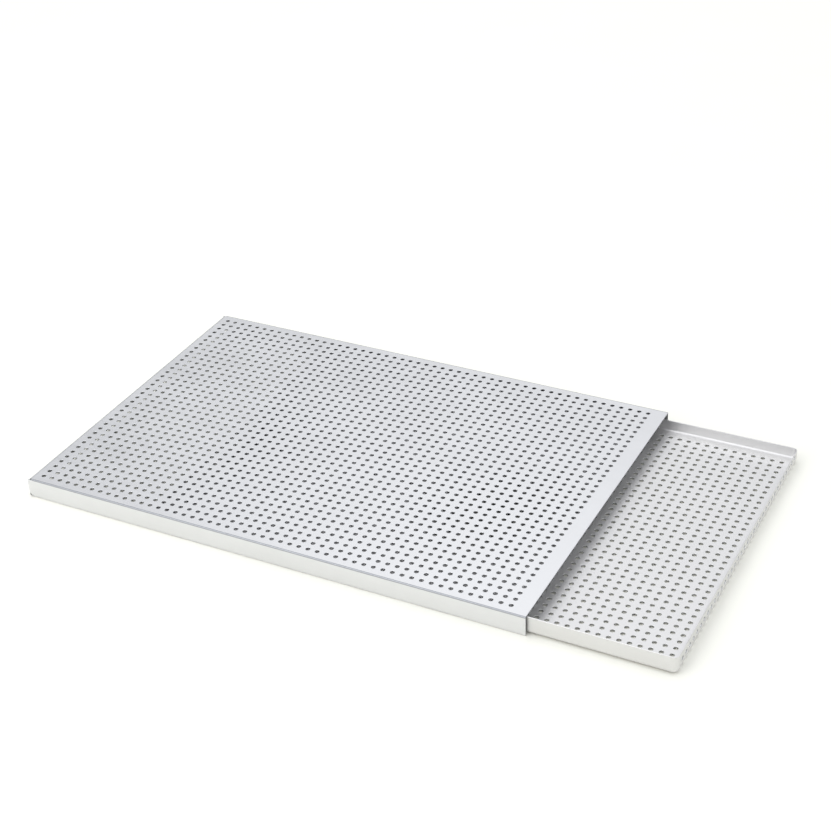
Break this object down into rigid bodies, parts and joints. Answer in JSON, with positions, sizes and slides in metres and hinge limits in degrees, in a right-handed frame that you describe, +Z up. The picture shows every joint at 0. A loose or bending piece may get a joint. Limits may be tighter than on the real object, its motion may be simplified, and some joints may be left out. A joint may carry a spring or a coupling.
{
  "type": "perforated bakery tray with sliding cover",
  "caption": "Shallow perforated aluminium baking tray with upturned walls, sliding inside a flat perforated sleeve cover that is folded under it and closed at one end.",
  "frame": {"origin": "under the middle of the whole assembly as it rests with the pan partly pulled out, on the surface it stands on", "axes": "+X along the slide, out of the cover's open end; +Y from the front long edge to the back long edge; +Z up"},
  "size_m": [0.7556, 0.4074, 0.0235],
  "materials": {
    "pan_sheet": "bright mill-finish aluminium sheet, soft satin reflections, punched all over",
    "cover_sheet": "bright mill-finish aluminium sheet, soft satin reflections, punched all over"
  },
  "bodies": {
    "cover": {"sliding_cover": "cover_sheet"},
    "pan": {"tray_pan": "pan_sheet"}
  },
  "joints": [
    {"name": "pan_slide", "type": "slide", "parent": "cover", "child": "pan", "axis": [1, 0, 0], "range_m": [-0.1525, 0.45]}
  ]
}
